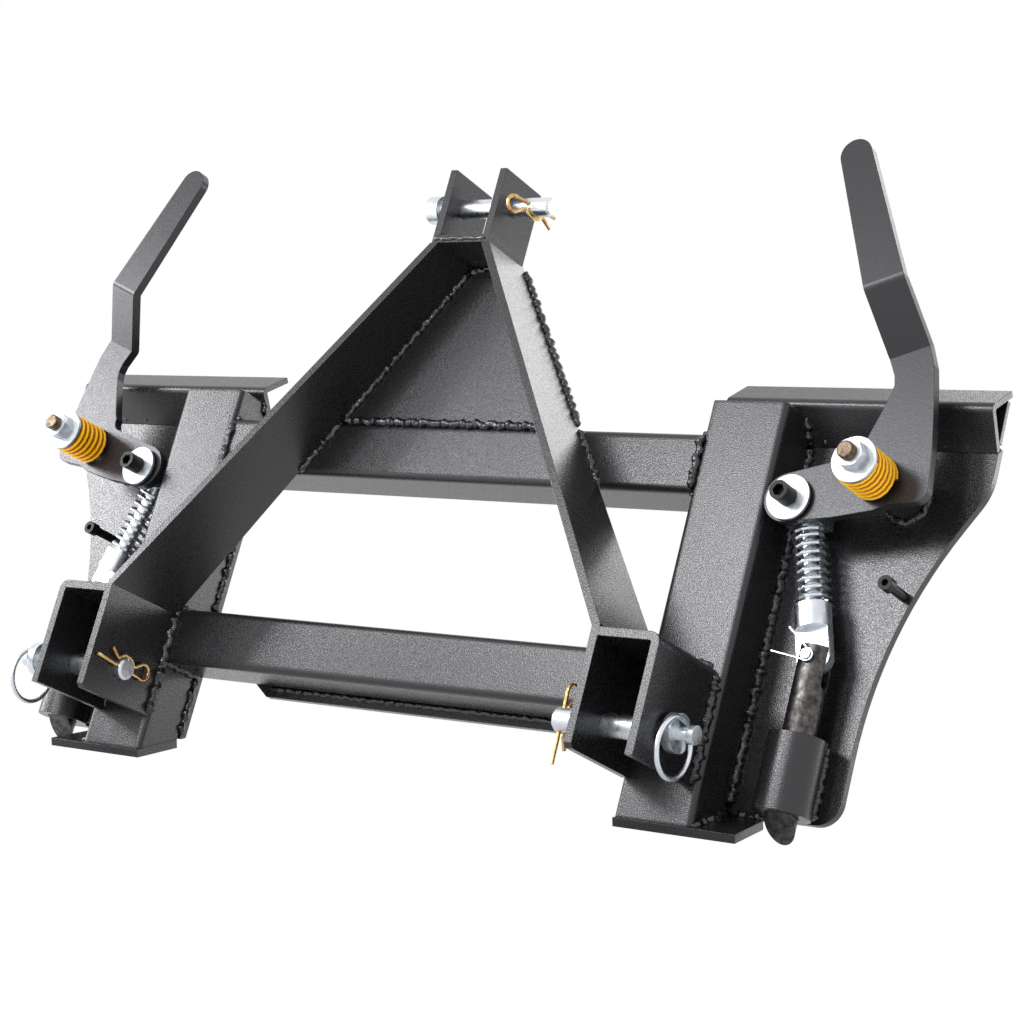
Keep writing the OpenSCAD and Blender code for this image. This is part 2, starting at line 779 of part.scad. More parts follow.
// side view of the bent bar, with the lever plate below its first bend and the grip above
module bent_profile() {
    w = lever_wall;
    reach = lever_room;
    back_top = [w * cos(grip_bend) - step_length * sin(grip_bend), step_rise];
    polygon(concat(
        [[0, -reach], [w, -reach], [w, 0]],
        arc([0, 0], w, grip_bend / 4, grip_bend, 3),
        [back_top, back_top + [0, reach], back_top + [-w, reach], back_top - [w, 0]],
        arc(back_top, w, 180 + grip_bend / 4, 180 + grip_bend, 3),
        [[0, 0]]));
}

module lever() {
    difference() {
        intersection() {
            sheet(-lever_front - grip_step - 1, grip_step + lever_wall + 2) lever_outline();
            translate([bend_middle[0], -lever_front, bend_middle[1]]) rotate([0, -bend_lean, 0])
                translate([-lever_room, 0, 0]) rotate([90, 0, 90])
                    linear_extrude(2 * lever_room) bent_profile();
        }
        bar_y(pivot_out, pivot_height, -lever_front - 1, lever_back + 1,
              stud_diameter + 2 * pivot_clearance);
    }
}

module lever_left() placed() left_side() color(paint) lever();
module lever_right() placed() color(paint) lever();

// crank screws hold the link heads to the levers

crank_washer_front = -lever_front - 3 - washer_wall;

module crank_screw() {
    difference() {
        union() {
            bar_y(crank_out, crank_height, crank_washer_front - 18, crank_washer_front, 18);
            bar_y(crank_out, crank_height, crank_washer_front - 1, -lever_front, crank_pin_diameter);
            bar_y(crank_out, crank_height, -lever_front - 3, -lever_front, 20);
            bar_y(crank_out, crank_height, lever_back, link_head_front - 0.3, 22);
            bar_y(crank_out, crank_height, lever_back, link_head_front + link_head_depth - 4,
                  crank_pin_diameter);
        }
        translate([crank_out, crank_washer_front - 18 + 8, crank_height]) rotate([90, 0, 0])
            cylinder(h = 9, d = 10 / cos(30), $fn = 6);
    }
}

module crank_washer() {
    difference() {
        bar_y(crank_out, crank_height, crank_washer_front, crank_washer_front + washer_wall,
              washer_diameter);
        bar_y(crank_out, crank_height, crank_washer_front - 1,
              crank_washer_front + washer_wall + 1, crank_pin_diameter);
    }
}

module crank_screw_left() placed() left_side() color(oxide) crank_screw();
module crank_screw_right() placed() color(oxide) crank_screw();
module crank_washer_left() placed() left_side() color(zinc) crank_washer();
module crank_washer_right() placed() color(zinc) crank_washer();

// spring links, drawn upright from the cross pin and then tilted to the crank pin

module link_placed() {
    translate([guide_out, guide_back, cross_height_z]) rotate([0, -link_tilt, 0]) children();
}

module link_rod() {
    link_placed() {
        difference() {
            // the head block leans less than the rod
            translate([0, 0, link_length]) rotate([0, link_tilt - link_head_tilt, 0])
                translate([1 - link_head_width / 2, -link_head_depth / 2, -link_head_drop])
                    cube([link_head_width, link_head_depth, link_head_height]);
            translate([0, link_head_depth / 2 + 1, link_length]) rotate([90, 0, 0])
                cylinder(h = link_head_depth + 2, d = crank_pin_diameter + 2 * link_head_clearance);
        }
        translate([0, 0, collar_low + 8])
            cylinder(h = link_length - link_head_drop + 2 - collar_low - 8, d = rod_diameter);
    }
}

module latch_spring() {
    link_placed() translate([0, 0, collar_high + 0.1])
        coil_spring(latch_spring_diameter, latch_spring_wire,
                    link_length - spring_top_drop - collar_high - 0.2,
                    latch_spring_coils, 6, 12);
}

module latch_clevis() {
    link_placed() difference() {
        union() {
            translate([0, 0, collar_low]) cylinder(h = collar_high - collar_low, d = clevis_diameter);
            intersection() {
                union() {
                    translate([0, tongue_wall / 2, tongue_rise]) rotate([90, 0, 0])
                        cylinder(h = tongue_wall, d = clevis_diameter);
                    translate([-clevis_diameter / 2, -tongue_wall / 2, tongue_rise])
                        cube([clevis_diameter, tongue_wall, collar_low - tongue_rise + 1]);
                }
                translate([0, 0, -clevis_diameter])
                    cylinder(h = 2 * clevis_diameter, d = clevis_diameter);
            }
        }
        translate([0, 0, collar_low + 8 - eps])
            cylinder(h = collar_high, d = rod_diameter);
        translate([0, tongue_wall, 0]) rotate([90, 0, 0])
            cylinder(h = 2 * tongue_wall, d = cross_pin_diameter + 2 * cross_pin_clearance);
    }
}

module link_rod_left() placed() left_side() color(zinc) link_rod();
module link_rod_right() placed() color(zinc) link_rod();
module latch_spring_left() placed() left_side() color(zinc) latch_spring();
module latch_spring_right() placed() color(zinc) latch_spring();
module latch_clevis_left() placed() left_side() color(zinc) latch_clevis();
module latch_clevis_right() placed() color(zinc) latch_clevis();

// locking wedges

module wedge() {
    slot = tongue_wall + 2 * tongue_clearance;
    slot_low = wedge_length - 38;
    translate([guide_out, guide_back, wedge_tip]) difference() {
        cylinder(h = wedge_length, d = wedge_diameter);
        // the fork
        translate([-wedge_diameter, -slot / 2, slot_low + slot / 2])
            cube([2 * wedge_diameter, slot, wedge_length]);
        translate([-wedge_diameter, 0, slot_low + slot / 2]) rotate([0, 90, 0])
            cylinder(h = 2 * wedge_diameter, d = slot);
        // the slanted tip, cut away at the front
        rotate([90, 0, 90]) translate([0, 0, -wedge_diameter]) linear_extrude(2 * wedge_diameter)
            polygon([[-wedge_diameter / 2 - 1, -1], [wedge_diameter / 2, -1],
                     [wedge_diameter / 2, 0], [-wedge_diameter / 2 - 1, wedge_bevel + 1]]);
        // the cross pin hole
        translate([0, wedge_diameter, wedge_length - wedge_pin_drop]) rotate([90, 0, 0])
            cylinder(h = 2 * wedge_diameter, d = cross_pin_diameter);
    }
}

cross_pin_front = guide_back - wedge_diameter / 2 - 5.5;

module cross_pin() {
    bar_y(guide_out, cross_height_z, cross_pin_front, guide_back + wedge_diameter / 2,
          cross_pin_diameter);
}

// thin wire round the front end of the cross pin, with two open legs
module hair_pin() {
    r = cross_pin_diameter / 2 + 1.1;
    translate([guide_out, cross_pin_front + 3, cross_height_z]) rotate([90, 0, 0])
        wire(concat(
            [[-35, 0.5, 0]],
            [for (p = arc([0, 0], r, 235, 455, 12)) [p[0], p[1], 0]],
            [[-2, r + 1.5, 0], [-22, 23, 0]]), 1.0, 6, [0, 0, 1]);
}

module wedge_left() placed() left_side() color(steel) wedge();
module wedge_right() placed() color(steel) wedge();
module cross_pin_left() placed() left_side() color(zinc) cross_pin();
module cross_pin_right() placed() color(zinc) cross_pin();
module hair_pin_left() placed() left_side() color(zinc) hair_pin();
module hair_pin_right() placed() color(zinc) hair_pin();

// hitch pins

// spring clip in the Y and Z plane, with its straight leg through the origin along Y
module spring_clip(pin_r, loop, leg) {
    r = 8;
    bend = 3;
    over = pin_r + clip_wire / 2 + 0.4;
    side = over * cos(40) + bend * cos(40);
    dip = over * sin(40) + bend * sin(40);
    path = concat(
        [for (y = [leg, leg / 2, 0, 5 - loop]) [0, y, 0]],
        [for (p = arc([-loop, 7.5], r, -70, -320, 14)) [0, p[0], p[1]]],
        [for (p = arc([-side, dip], bend, 220, 320, 5)) [0, p[0], p[1]]],
        [for (p = arc([0, 0], over, 130, 50, 6)) [0, p[0], p[1]]],
        [for (p = arc([side, dip], bend, 220, 300, 4)) [0, p[0], p[1]]],
        [[0, side + 12, dip + 3.4]]);
    wire(path, clip_wire / 2, 8, [1, 0, 0]);
}

// the top pin lies pushed to one side, with its head clear of the ear
top_head_x = -ear_outer - top_head_play;
top_pin_end = ear_outer + top_pin_stand;
top_clip_x = top_pin_end - 20.5;
top_clip_lean = 15;

module hitch_pin_shank(x0, x1, d, y, z) {
    bar_x(x0, x1 - 2, y, z, d);
    translate([x1 - 2, y, z]) rotate([0, 90, 0]) cylinder(h = 2, d1 = d, d2 = d - 4);
}

module clip_hole(x, y, z, turn, lean) {
    translate([x, y, z]) rotate([turn, 0, -lean]) rotate([90, 0, 0])
        translate([0, 0, -lower_pin_diameter])
            cylinder(h = 2 * lower_pin_diameter, d = clip_wire + 0.8);
}

module top_hitch_pin() placed() color(zinc) difference() {
    union() {
        bar_x(top_head_x - top_head_wall, top_head_x, -top_pin_front, top_pin_height,
              top_head_diameter);
        hitch_pin_shank(top_head_x - 1, top_pin_end, top_pin_diameter, -top_pin_front,
                        top_pin_height);
    }
    clip_hole(top_clip_x, -top_pin_front, top_pin_height, 0, top_clip_lean);
}

module top_clip() placed() color(yellow_zinc)
    translate([top_clip_x, -top_pin_front, top_pin_height]) rotate([0, 0, -top_clip_lean])
        mirror([0, 0, 1]) spring_clip(top_pin_diameter / 2, 26, 26);

// the left pin lies pulled out until its clip is near the bracket wall
lower_pin_inner = upright_inset - lower_pin_stand;
lower_clip_x = lower_pin_inner + 5;
collar_x = bracket_outer + bar_wall + pin_collar_play;
stub_x = collar_x + pin_collar_wall;

module lower_hitch_pin(turn) {
    difference() {
        union() {
            translate([2 * lower_pin_inner, 0, 0]) mirror([1, 0, 0])
                hitch_pin_shank(2 * lower_pin_inner - collar_x - 1, lower_pin_inner,
                                lower_pin_diameter, -lower_pin_front, lower_pin_height);
            bar_x(collar_x, stub_x, -lower_pin_front, lower_pin_height, pin_collar_diameter);
            bar_x(stub_x - 1, stub_x + stub_length + 1, -lower_pin_front, lower_pin_height,
                  stub_diameter);
            bar_x(stub_x + stub_length, stub_x + stub_length + stub_head_wall,
                  -lower_pin_front, lower_pin_height, stub_head_diameter);
        }
        clip_hole(lower_clip_x, -lower_pin_front, lower_pin_height, turn, 0);
    }
}

module pull_ring(swing) {
    hang = ring_diameter / 2 - ring_wire - stub_diameter / 2 - 0.3;
    translate([stub_x + ring_wire / 2 + 0.75, -lower_pin_front, lower_pin_height])
        rotate([-swing, 0, 0]) translate([0, 0, -hang]) rotate([0, 90, 0])
        rotate_extrude() translate([(ring_diameter - ring_wire) / 2, 0]) circle(d = ring_wire, $fn = 16);
}

// the right clip stands up, and the left clip lies with its loop to the back
right_clip_turn = -88;
left_clip_turn = -5.3;

module lower_clip() {
    spring_clip(lower_pin_diameter / 2, 26, 40);
}

module lower_clip_placed(turn) {
    translate([lower_clip_x, -lower_pin_front, lower_pin_height]) rotate([turn, 0, 0]) children();
}

module left_pin_side() {
    left_side() translate([left_pin_pull, 0, 0]) children();
}

module lower_hitch_pin_left() placed() left_pin_side() color(zinc)
    lower_hitch_pin(left_clip_turn);
module lower_hitch_pin_right() placed() color(zinc) lower_hitch_pin(right_clip_turn);
module lower_clip_left() placed() left_pin_side() color(yellow_zinc)
    lower_clip_placed(left_clip_turn) mirror([0, 1, 0]) lower_clip();
module lower_clip_right() placed() color(yellow_zinc)
    lower_clip_placed(right_clip_turn) lower_clip();
module pull_ring_left() placed() left_pin_side() color(zinc) pull_ring(0);
module pull_ring_right() placed() color(zinc) pull_ring(right_ring_swing);

upright_tube_left();
upright_tube_right();
upper_cross_tube();
lower_cross_tube();
hook_rail_left();
hook_rail_right();
rail_strip_left();
rail_strip_right();
side_plate_left();
side_plate_right();
foot_plate_left();
foot_plate_right();
bottom_strip();
mast_bar_left();
mast_bar_right();
mast_gusset();
mast_cap();
top_ear_left();
top_ear_right();
link_bracket_left();
link_bracket_right();
guide_tube_left();
guide_tube_right();
pivot_boss_left();
pivot_boss_right();
pivot_stud_left();
pivot_stud_right();
pivot_washers();
pivot_nuts();
friction_spring_left();
friction_spring_right();
stop_screws();
lever_left();
lever_right();
crank_screw_left();
crank_screw_right();
crank_washer_left();
crank_washer_right();
link_rod_left();
link_rod_right();
latch_spring_left();
latch_spring_right();
latch_clevis_left();
latch_clevis_right();
wedge_left();
wedge_right();
cross_pin_left();
cross_pin_right();
hair_pin_left();
hair_pin_right();
top_hitch_pin();
top_clip();
lower_hitch_pin_left();
lower_hitch_pin_right();
lower_clip_left();
lower_clip_right();
pull_ring_left();
pull_ring_right();
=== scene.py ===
import json
import math
import random

import bpy
from mathutils import Matrix, Vector


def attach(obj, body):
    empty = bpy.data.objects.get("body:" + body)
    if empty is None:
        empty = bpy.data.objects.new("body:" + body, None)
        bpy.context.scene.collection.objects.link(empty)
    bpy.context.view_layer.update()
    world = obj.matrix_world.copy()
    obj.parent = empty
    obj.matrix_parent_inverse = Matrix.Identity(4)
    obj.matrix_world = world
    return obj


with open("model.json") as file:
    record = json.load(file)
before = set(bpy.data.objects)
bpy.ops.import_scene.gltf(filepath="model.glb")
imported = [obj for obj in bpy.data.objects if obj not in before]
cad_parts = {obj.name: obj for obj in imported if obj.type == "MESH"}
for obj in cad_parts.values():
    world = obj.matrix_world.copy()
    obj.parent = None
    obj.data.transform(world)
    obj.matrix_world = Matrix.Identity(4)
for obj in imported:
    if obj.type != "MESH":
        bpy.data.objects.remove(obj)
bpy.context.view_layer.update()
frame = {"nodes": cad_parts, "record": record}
print("frame loaded,", len(frame["nodes"]), "nodes")

# the part was drawn in millimetres from the uprights' front face and foot,
# which lie this far behind the frame's origin and above its lowest point
drawn = {"back": 14.35, "footThick": 8, "footTilt": 26}
drawnRise = drawn["footThick"] * math.cos(math.radians(drawn["footTilt"]))
sides = (("left", -1), ("right", 1))


def at(x, y, z):
    return Vector((x, y + drawn["back"], z + drawnRise)) / 1000


def newMaterial(name):
    mat = bpy.data.materials.new(name)
    mat.use_nodes = True
    tree = mat.node_tree
    return mat, tree, tree.nodes["Principled BSDF"]


def opaque(color):
    return (*color, 1)


seedSlide = (1, 0.7, 1.3)  # a seed slides its pattern by this much each way


def noise(tree, scale, detail=2.0, rough=0.5, stretch=None, seed=0.0):
    coords = tree.nodes.new("ShaderNodeTexCoord")
    mapping = tree.nodes.new("ShaderNodeMapping")
    mapping.inputs["Location"].default_value = [seed * slide for slide in seedSlide]
    if stretch:
        mapping.inputs["Scale"].default_value = stretch
    tex = tree.nodes.new("ShaderNodeTexNoise")
    tex.inputs["Scale"].default_value = scale
    tex.inputs["Detail"].default_value = detail
    tex.inputs["Roughness"].default_value = rough
    tree.links.new(coords.outputs["Object"], mapping.inputs["Vector"])
    tree.links.new(mapping.outputs["Vector"], tex.inputs["Vector"])
    return tex.outputs["Fac"]


def ramp(tree, value, stops):
    node = tree.nodes.new("ShaderNodeValToRGB")
    elements = node.color_ramp.elements
    while len(elements) < len(stops):
        elements.new(0.5)
    for element, (place, color) in zip(elements, stops):
        element.position = place
        element.color = opaque(color)
    tree.links.new(value, node.inputs["Fac"])
    return node.outputs["Color"]


noiseSpan = (0.3, 0.7)  # nearly all of a noise texture lies between these


def spread(tree, value, low, high):
    node = tree.nodes.new("ShaderNodeMapRange")
    node.inputs["From Min"].default_value = noiseSpan[0]
    node.inputs["From Max"].default_value = noiseSpan[1]
    node.inputs["To Min"].default_value = low
    node.inputs["To Max"].default_value = high
    tree.links.new(value, node.inputs["Value"])
    return node.outputs["Result"]


waveRepeat = 0.314  # the wave texture repeats this often at a scale of 1


def threadRidges(tree, pitch):
    # ridges square to the stud's axis, front to back
    coords = tree.nodes.new("ShaderNodeTexCoord")
    wave = tree.nodes.new("ShaderNodeTexWave")
    wave.bands_direction = "Y"
    wave.inputs["Scale"].default_value = waveRepeat / pitch
    wave.inputs["Distortion"].default_value = 0.0
    tree.links.new(coords.outputs["Object"], wave.inputs["Vector"])
    return wave.outputs["Fac"]


bevelSamples = 4  # enough for small soft edges


def bumped(tree, shader, layers, edge):
    # soft edges first, then one bump per layer of (height, strength, distance)
    bevel = tree.nodes.new("ShaderNodeBevel")
    bevel.samples = bevelSamples
    bevel.inputs["Radius"].default_value = edge
    normal = bevel.outputs["Normal"]
    for height, strength, distance in layers:
        bump = tree.nodes.new("ShaderNodeBump")
        bump.inputs["Strength"].default_value = strength
        bump.inputs["Distance"].default_value = distance
        tree.links.new(height, bump.inputs["Height"])
        tree.links.new(normal, bump.inputs["Normal"])
        normal = bump.outputs["Normal"]
    tree.links.new(normal, shader.inputs["Normal"])


# every powder coat has slow patches of tone, a soft orange peel and fine grain
coatBuild = {"patch": {"detail": 3, "rough": 0.6, "seed": 2.0}, "patchEnds": (0.35, 0.65),
             "grain": {"detail": 1.5, "rough": 0.6}, "grainDepth": 0.0007,
             "peel": {"detail": 1, "rough": 0.5, "seed": 9.0}, "peelDepth": 0.0006}


def powderCoat(name, look):
    mat, tree, shader = newMaterial(name)
    shader.inputs["Specular IOR Level"].default_value = look["gloss"]
    shader.inputs["IOR"].default_value = look["ior"]
    shader.inputs["Specular Tint"].default_value = opaque(look["sheen"])
    patches = noise(tree, look["patchScale"], **coatBuild["patch"])
    darkEnd, lightEnd = coatBuild["patchEnds"]
    color = ramp(tree, patches, [(darkEnd, look["dark"]), (lightEnd, look["light"])])
    tree.links.new(color, shader.inputs["Base Color"])
    grain = noise(tree, look["grainScale"], **coatBuild["grain"])
    tree.links.new(spread(tree, grain, *look["roughness"]), shader.inputs["Roughness"])
    peel = noise(tree, look["peelScale"], **coatBuild["peel"])
    bumped(tree, shader, [(peel, look["peel"], coatBuild["peelDepth"]),
                          (grain, look["grain"], coatBuild["grainDepth"])], look["edge"])
    return mat


def springCoat(name, look):
    # thick glossy paint, its base colour painted darker as shade down in the gaps between the coils,
    # where ambient occlusion finds them
    mat, tree, shader = newMaterial(name)
    shader.inputs["Specular IOR Level"].default_value = look["gloss"]
    gapShade = tree.nodes.new("ShaderNodeAmbientOcclusion")
    gapShade.samples = look["shadeSamples"]
    gapShade.inputs["Distance"].default_value = look["shadeReach"]
    # painted shade: the occlusion picks the tone, deep orange in the gaps and bright on the open coils
    tree.links.new(ramp(tree, gapShade.outputs["AO"], look["tones"]), shader.inputs["Base Color"])
    wear = noise(tree, look["wearScale"])
    tree.links.new(spread(tree, wear, *look["roughness"]), shader.inputs["Roughness"])
    grain = noise(tree, look["grainScale"], **coatBuild["grain"])
    bumped(tree, shader, [(grain, look["grain"], look["grainDepth"])], look["edge"])
    return mat


# every bare or plated metal has cloudy tones, worn patches and fine scratches
metalBuild = {"tone": {"detail": 3, "rough": 0.6, "seed": 3.0},
              "wear": {"scale": 160, "detail": 3, "rough": 0.6, "seed": 7.0},
              "scratch": {"detail": 2, "rough": 0.6}, "scratchDepth": 0.0003}


def platedMetal(name, look):
    mat, tree, shader = newMaterial(name)
    shader.inputs["Metallic"].default_value = 1
    tone = noise(tree, look["toneScale"], **metalBuild["tone"])
    tree.links.new(ramp(tree, tone, look["tones"]), shader.inputs["Base Color"])
    wear = noise(tree, **metalBuild["wear"])
    tree.links.new(spread(tree, wear, *look["roughness"]), shader.inputs["Roughness"])
    scratches = noise(tree, look["scratchScale"], stretch=look["scratchStretch"],
                      **metalBuild["scratch"])
    layers = [(scratches, look["scratch"], metalBuild["scratchDepth"])]
    if "thread" in look:
        thread = look["thread"]
        layers.insert(0, (threadRidges(tree, thread["pitch"]), thread["strength"], thread["depth"]))
    bumped(tree, shader, layers, look["edge"])
    return mat


frameLook = {
    "dark": (0.0098, 0.0097, 0.0108), "light": (0.0130, 0.0128, 0.0142), "sheen": (0.965, 0.960, 1.0),
    "gloss": 0.55, "ior": 1.55, "roughness": (0.40, 0.14), "patchScale": 9,
    "grainScale": 840, "grain": 0.28, "peelScale": 300, "peel": 0.03, "edge": 0.0010}
framePaint = powderCoat("frame_paint", frameLook)
tubePaint = powderCoat("tube_paint", dict(frameLook, edge=0.0040))  # rolled tube has rounder corners
leverPaint = powderCoat("lever_paint", {
    "dark": (0.0095, 0.0094, 0.0108), "light": (0.0120, 0.0118, 0.0134), "sheen": (0.950, 0.945, 1.0),
    "gloss": 0.46, "ior": 1.55, "roughness": (0.38, 0.24), "patchScale": 9,
    "grainScale": 840, "grain": 0.12, "peelScale": 300, "peel": 0.03, "edge": 0.0010})
weldPaint = powderCoat("weld_paint", {
    "dark": (0.004, 0.004, 0.005), "light": (0.011, 0.0108, 0.0125), "sheen": (0.95, 0.95, 1.0),
    "gloss": 0.75, "ior": 1.55, "roughness": (0.20, 0.09), "patchScale": 60,
    "grainScale": 520, "grain": 0.9, "peelScale": 240, "peel": 0.8, "edge": 0.0002})
blackOxide = powderCoat("black_oxide", {
    "dark": (0.003, 0.003, 0.003), "light": (0.007, 0.007, 0.007), "sheen": (1.0, 1.0, 1.0),
    "gloss": 0.20, "ior": 1.5, "roughness": (0.30, 0.42), "patchScale": 120,
    "grainScale": 1200, "grain": 0.25, "peelScale": 400, "peel": 0.15, "edge": 0.0005})
# the tones run from painted shade in the coil gaps to the paint's own orange on the open coils
springPaint = springCoat("spring_paint", {
    "tones": [(0.42, (0.22, 0.025, 0.001)), (0.70, (0.80, 0.22, 0.002)), (0.88, (1.0, 0.58, 0.006))],
    "shadeReach": 0.010, "shadeSamples": 6, "gloss": 0.35, "wearScale": 300, "roughness": (0.20, 0.30),
    "grainScale": 450, "grain": 0.12, "grainDepth": 0.0003, "edge": 0.0002})
zincPlate = platedMetal("zinc_plate", {
    "tones": [(0.30, (0.62, 0.67, 0.73)), (0.55, (0.75, 0.79, 0.83)), (0.75, (0.82, 0.84, 0.86))],
    "toneScale": 70, "roughness": (0.22, 0.38), "scratchScale": 260,
    "scratchStretch": (1, 1, 0.2), "scratch": 0.30, "edge": 0.0005})
# rougher zinc for the washers and nuts, with its tones painted darker than zinc_plate as shade so the
# brightly lit washers stay short of white
dullShadedZinc = platedMetal("dull_zinc", {
    "tones": [(0.30, (0.46, 0.49, 0.53)), (0.55, (0.57, 0.60, 0.63)), (0.75, (0.66, 0.68, 0.70))],
    "toneScale": 120, "roughness": (0.40, 0.58), "scratchScale": 420,
    "scratchStretch": (1, 1, 1), "scratch": 0.25, "edge": 0.0006})
yellowZinc = platedMetal("yellow_zinc", {
    "tones": [(0.30, (0.54, 0.24, 0.09)), (0.50, (0.76, 0.48, 0.18)), (0.70, (0.82, 0.68, 0.34))],
    "toneScale": 110, "roughness": (0.20, 0.34), "scratchScale": 400,
    "scratchStretch": (1, 1, 1), "scratch": 0.12, "edge": 0.0003})
wedgeSteel = platedMetal("wedge_steel", {
    "tones": [(0.30, (0.036, 0.032, 0.030)), (0.48, (0.083, 0.079, 0.076)),
              (0.70, (0.155, 0.150, 0.147))],
    "toneScale": 150, "roughness": (0.30, 0.52), "scratchScale": 420,
    "scratchStretch": (1, 1, 0.12), "scratch": 0.45, "edge": 0.0005})
studSteel = platedMetal("stud_steel", {
    "tones": [(0.30, (0.060, 0.040, 0.025)), (0.50, (0.13, 0.095, 0.065)), (0.72, (0.20, 0.17, 0.14))],
    "toneScale": 240, "roughness": (0.34, 0.50), "scratchScale": 600,
    "scratchStretch": (1, 1, 1), "scratch": 0.3, "edge": 0.0004,
    "thread": {"pitch": 0.002, "strength": 0.8, "depth": 0.0006}})

slotMaterials = {"frame_paint": framePaint, "zinc": zincPlate, "yellow_zinc": yellowZinc,
                 "orange_paint": springPaint, "black_oxide": blackOxide, "bare_steel": wedgeSteel}
slotOfNode = {part["node"]: part["material_slot"] for part in frame["record"]["subparts"]}
for nodeName, node in frame["nodes"].items():
    material = slotMaterials[slotOfNode[nodeName]]
    if "stud" in nodeName:
        material = studSteel
    elif "washer" in nodeName or nodeName == "pivot_nuts":
        # washers and nuts take the rougher zinc with painted shade
        material = dullShadedZinc
    elif nodeName.startswith("lever_"):
        material = leverPaint
    elif nodeName.startswith("upright_tube") or nodeName.endswith("cross_tube"):
        material = tubePaint
    for materialSlot in node.material_slots:
        materialSlot.material = material
    if not node.material_slots:
        node.data.materials.append(material)
print("materials assigned")


def along(points, step):
    # evenly spaced points on a polyline, with the distance from its start
    result = []
    travelled = 0.0
    for a, b in zip(points, points[1:]):
        length = (b - a).length
        count = max(1, round(length / step))
        for i in range(count):
            result.append((a.lerp(b, i / count), travelled + length * i / count))
        travelled += length
    result.append((points[-1], travelled))
    return result


# a run of lumps is a few sine waves added up, each with its own size and start
lumpMix = {"count": 4, "size": (0.6, 1.0), "start": (0, 6.28), "gain": 1.6}


def lumps(draw, waves):
    # a smooth uneven run of lumps, about -1 to 1
    parts = [(draw.uniform(*lumpMix["size"]), 2 * math.pi / draw.uniform(*waves),
              draw.uniform(*lumpMix["start"])) for _ in range(lumpMix["count"])]
    total = sum(size for size, _, _ in parts)
    return lambda travelled: sum(size * math.sin(rate * travelled + start)
                                 for size, rate, start in parts) / total * lumpMix["gain"]


nearlyY = 0.99  # a bead that runs this close to front and back takes another side direction


def squareTo(before, after):
    # two directions square to the bead's run
    run = (after - before).normalized()
    if abs(run.y) > nearlyY:
        side = run.orthogonal().normalized()
    else:
        side = run.cross(Vector((0, 1, 0))).normalized()
    return side, side.cross(run).normalized()


# radius, step and waves in metres, the rest as shares of the radius
plainBead = {"radius": 0.0040, "step": 0.0013, "flats": 11, "waves": (0.0075, 0.021),
             "swell": 0.22, "wander": 0.24, "rough": 0.055, "flatRough": 0.8,
             "endSize": 0.45, "endGrow": 0.2, "closed": False}
fatBead = dict(plainBead, radius=0.0052)
thinBead = dict(plainBead, radius=0.0028)
capBead = dict(plainBead, radius=0.0022)
bossBead = dict(plainBead, closed=True)


def weldBead(name, points, look):
    draw = random.Random(name)
    swell, wander, lift = (lumps(draw, look["waves"]) for _ in range(3))
    closed = look["closed"]
    if closed:
        points = points + [points[0]]
    rings = along(points, look["step"])
    if closed:
        rings = rings[:-1]
    verts, faces = [], []
    count, flats = len(rings), look["flats"]
    for i, (spot, travelled) in enumerate(rings):
        before = rings[i - 1][0] if (i or closed) else spot
        after = rings[(i + 1) % count][0] if (i + 1 < count or closed) else spot
        side, up = squareTo(before, after)
        fade = 1.0
        if not closed:  # small at both ends
            fade = min(1.0, look["endSize"] + min(i, count - 1 - i) * look["endGrow"])
        radius = look["radius"] * fade * (1 + look["swell"] * swell(travelled)
                                          + draw.uniform(-1, 1) * look["rough"])
        shift = (side * wander(travelled) + up * lift(travelled)) * look["radius"] * look["wander"]
        for k in range(flats):
            turn = 2 * math.pi * k / flats
            bump = 1 + draw.uniform(-1, 1) * look["rough"] * look["flatRough"]
            verts.append(spot + shift + radius * bump * (side * math.cos(turn) + up * math.sin(turn)))
    for i in range(count if closed else count - 1):
        ring, nextRing = i * flats, ((i + 1) % count) * flats
        for k in range(flats):
            nextFlat = (k + 1) % flats
            faces.append((ring + k, ring + nextFlat, nextRing + nextFlat, nextRing + k))
    if not closed:
        faces.append(tuple(reversed(range(flats))))
        faces.append(tuple((count - 1) * flats + k for k in range(flats)))
    mesh = bpy.data.meshes.new(name)
    mesh.from_pydata([tuple(v) for v in verts], [], faces)
    for face in mesh.polygons:
        face.use_smooth = True
    bead = bpy.data.objects.new(name, mesh)
    bpy.context.scene.collection.objects.link(bead)
    mesh.materials.append(weldPaint)
    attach(bead, "frame")


# the edges that the beads follow, in the drawing's millimetres on the right half
uprightIn, uprightOut = 290, 370
plateFront = 55
crossTube = {"upper": 304.5, "lower": 94.5, "high": 58, "front": 4, "back": 54, "stand": 0.5, "short": 3}
bar = {"footX": 290, "footZ": 144, "topX": 26.5, "topZ": 530, "thick": 8}
guide = {"x": 438, "half": 17, "front": 51.5, "low": 30, "high": 94}
boss = {"x": 479.6, "z": 324.5, "radius": 20, "points": 48}
barSlope = (bar["footX"] - bar["topX"]) / (bar["topZ"] - bar["footZ"])
barWide = bar["thick"] / math.cos(math.atan(barSlope))


def barInner(z):
    return bar["topX"] + (bar["topZ"] - z) * barSlope


edgeIn, edgeOut = uprightIn - 0.5, uprightOut + 1
tubeEdge = uprightIn - 1
innerPlate = plateFront - 2
# uprights to side plates, rails and feet
halfBeads = {
    "upright_plate": (fatBead, (edgeOut, plateFront - 1, 34), (edgeOut, plateFront - 1, 372)),
    "upright_plate_in": (plainBead, (edgeIn, innerPlate, 32), (edgeIn, innerPlate, 92)),
    "upright_plate_mid": (plainBead, (edgeIn, innerPlate, 154), (edgeIn, innerPlate, 302)),
    "upright_rail_out": (plainBead, (uprightOut + 0.5, 36, 394), (uprightOut + 0.5, 53, 373.5)),
    "upright_rail_in": (plainBead, (edgeIn, 36, 394), (edgeIn, 53, 373.5)),
    "upright_foot_out": (plainBead, (edgeOut, 3, 2.5), (edgeOut, 52, 26.5)),
    "plate_foot": (plainBead, (uprightOut + 4, 54, 27.5), (408, 54, 27.5))}
